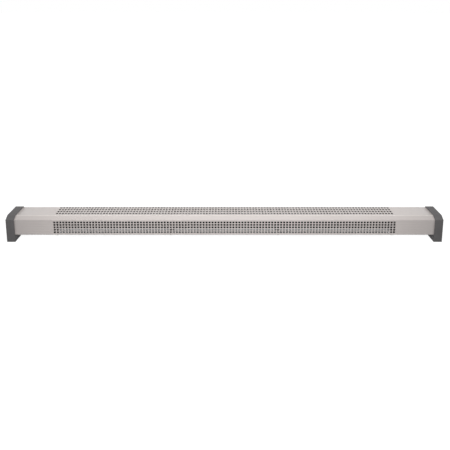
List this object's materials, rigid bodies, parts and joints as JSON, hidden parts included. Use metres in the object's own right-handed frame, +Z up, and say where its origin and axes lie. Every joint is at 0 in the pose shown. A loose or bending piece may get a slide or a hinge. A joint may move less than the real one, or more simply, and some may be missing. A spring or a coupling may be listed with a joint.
{
  "type": "plinth convector heater",
  "caption": "Low, long convector heater for skirting height, with a bevelled, perforated steel casing between dark end caps that are its feet.",
  "frame": {"origin": "centre of the footprint on the floor", "axes": "+X along the heater to the viewer's right, -Y to the front, +Z up"},
  "size_m": [1.172, 0.07, 0.071],
  "materials": {
    "casing_paint": "satin paint, pale warm grey",
    "cap_plastic": "matt moulded plastic, dark grey",
    "galvanised_sheet": "galvanised steel sheet",
    "black_paint": "matt black paint",
    "tube_steel": "stainless tube, slightly tinted by heat",
    "fin_aluminium": "plain rolled aluminium",
    "brass": "turned brass",
    "ceramic": "unglazed ceramic",
    "plated_steel": "zinc-plated steel",
    "black_plastic": "moulded black plastic",
    "cream_plastic": "moulded cream plastic",
    "brown_sleeving": "soft heat-resistant sleeving, brown",
    "blue_sleeving": "soft heat-resistant sleeving, blue",
    "green_sleeving": "soft heat-resistant sleeving, green",
    "rivet_aluminium": "plain aluminium"
  },
  "bodies": {
    "root": {"front_cover": "casing_paint", "end_cap_left": "cap_plastic", "end_cap_right": "cap_plastic", "back_plate": "galvanised_sheet", "base_plate": "galvanised_sheet", "wiring_cover_left": "galvanised_sheet", "wiring_cover_right": "galvanised_sheet", "end_plate_left": "galvanised_sheet", "end_plate_right": "galvanised_sheet", "partition_left": "galvanised_sheet", "partition_right": "galvanised_sheet", "middle_supports": "galvanised_sheet", "air_baffle": "black_paint", "baffle_brackets": "galvanised_sheet", "heating_tube": "tube_steel", "heating_fins": "fin_aluminium", "element_bushes": "brass", "element_nuts": "brass", "terminal_beads": "ceramic", "terminal_pins": "plated_steel", "overheat_cutout": "black_plastic", "cutout_screws": "plated_steel", "terminal_block": "cream_plastic", "clamp_screws": "plated_steel", "block_screws": "plated_steel", "earth_stud": "brass", "earth_nut": "brass", "live_wire": "brown_sleeving", "link_wire": "brown_sleeving", "neutral_wire": "blue_sleeving", "earth_wire": "green_sleeving", "cable_gland": "black_plastic", "gland_nut": "black_plastic", "cap_screws": "plated_steel", "cover_screws": "plated_steel", "wiring_cover_screws": "plated_steel", "chassis_rivets": "rivet_aluminium", "baffle_rivets": "rivet_aluminium"}
  },
  "joints": []
}
